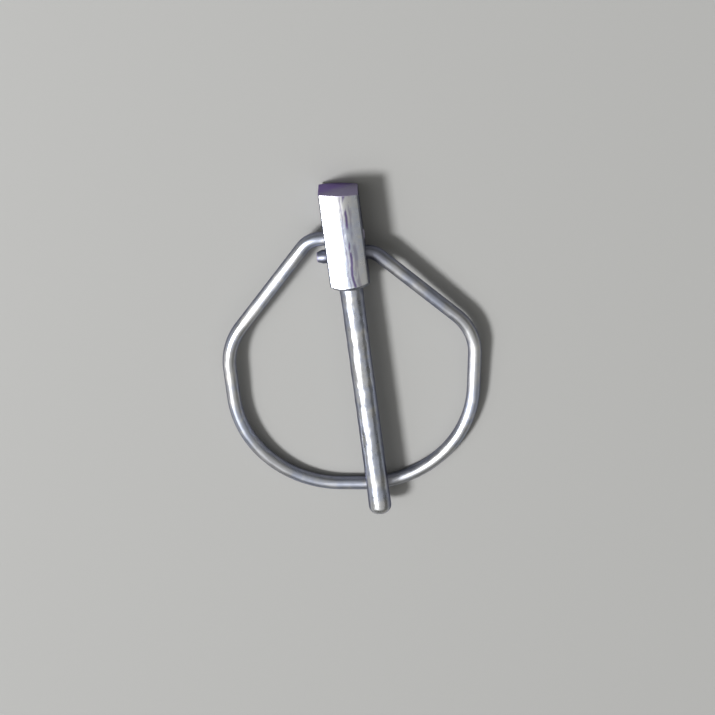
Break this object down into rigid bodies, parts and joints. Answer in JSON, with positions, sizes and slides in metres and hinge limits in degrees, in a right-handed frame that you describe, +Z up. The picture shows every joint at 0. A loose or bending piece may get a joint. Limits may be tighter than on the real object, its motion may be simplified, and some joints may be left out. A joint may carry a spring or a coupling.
{
  "type": "linch pin",
  "caption": "Linch pin: a round shank with a block head, locked in a cross hole by a sprung wire ring that swings over the shank.",
  "frame": {"origin": "bottom centre of the whole part as it lies on a flat surface with the ring closed", "axes": "+Y runs along the pin from its tip to its head, +X runs along the cross holes in the head, +Z is up from the surface"},
  "size_m": [0.051, 0.0684, 0.0092],
  "materials": {
    "pin_zinc": "bright zinc plate over turned and formed steel, faintly rippled",
    "ring_zinc": "bright zinc plate over drawn spring wire, smooth"
  },
  "bodies": {
    "pin": {"pin": "pin_zinc"},
    "ring": {"ring": "ring_zinc"}
  },
  "joints": [
    {"name": "ring_swing", "type": "hinge", "parent": "pin", "child": "ring", "pos_m": [0.00181, 0.02266, 0.00465], "axis": [1, 0, 0], "range_deg": [0, 351.2], "deforming": ["ring"]}
  ]
}
